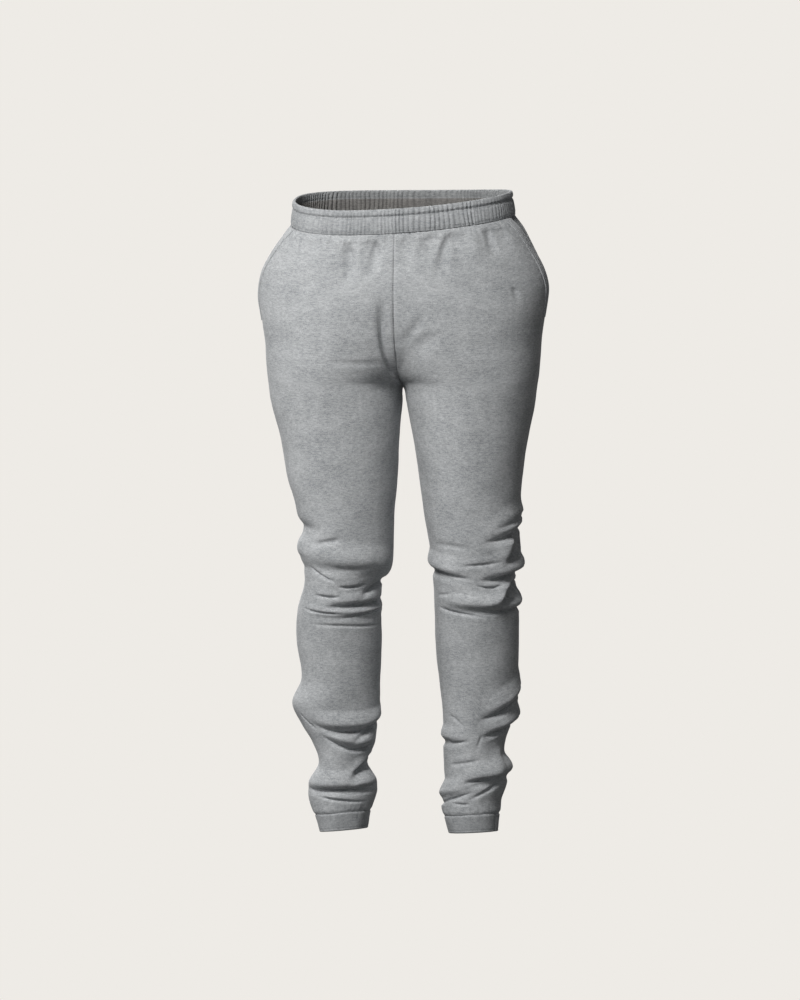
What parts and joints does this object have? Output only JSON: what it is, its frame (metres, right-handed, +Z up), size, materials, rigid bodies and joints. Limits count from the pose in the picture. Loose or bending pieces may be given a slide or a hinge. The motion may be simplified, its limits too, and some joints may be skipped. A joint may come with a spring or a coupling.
{
  "type": "jogger sweatpants",
  "caption": "Grey marl fleece jogger sweatpants, filled out as when worn and open at waist and ankles: elastic waistband, side pockets, plain cuffs, legs stacked in folds.",
  "frame": {"origin": "the middle of the waist, inside the elastic waistband, where the wearer's waist holds the garment", "axes": "+Z up, -Y to the garment's front, +X to the garment's left"},
  "size_m": [0.457, 0.2524, 1.0091],
  "materials": {
    "body_fleece": "grey marl brushed fleece jersey, matt",
    "waistband_fleece": "the same fleece, folded over elastic and gathered",
    "cuff_fleece": "the same fleece, doubled and hemmed",
    "pocket_bag": "single grey jersey"
  },
  "bodies": {
    "root": {"waistband": "waistband_fleece", "front_left": "body_fleece", "back_left": "body_fleece", "pocket_bag_left": "pocket_bag", "pocket_hem_left": "body_fleece", "cuff_left": "cuff_fleece", "front_right": "body_fleece", "back_right": "body_fleece", "pocket_bag_right": "pocket_bag", "pocket_hem_right": "body_fleece", "cuff_right": "cuff_fleece"}
  },
  "joints": []
}
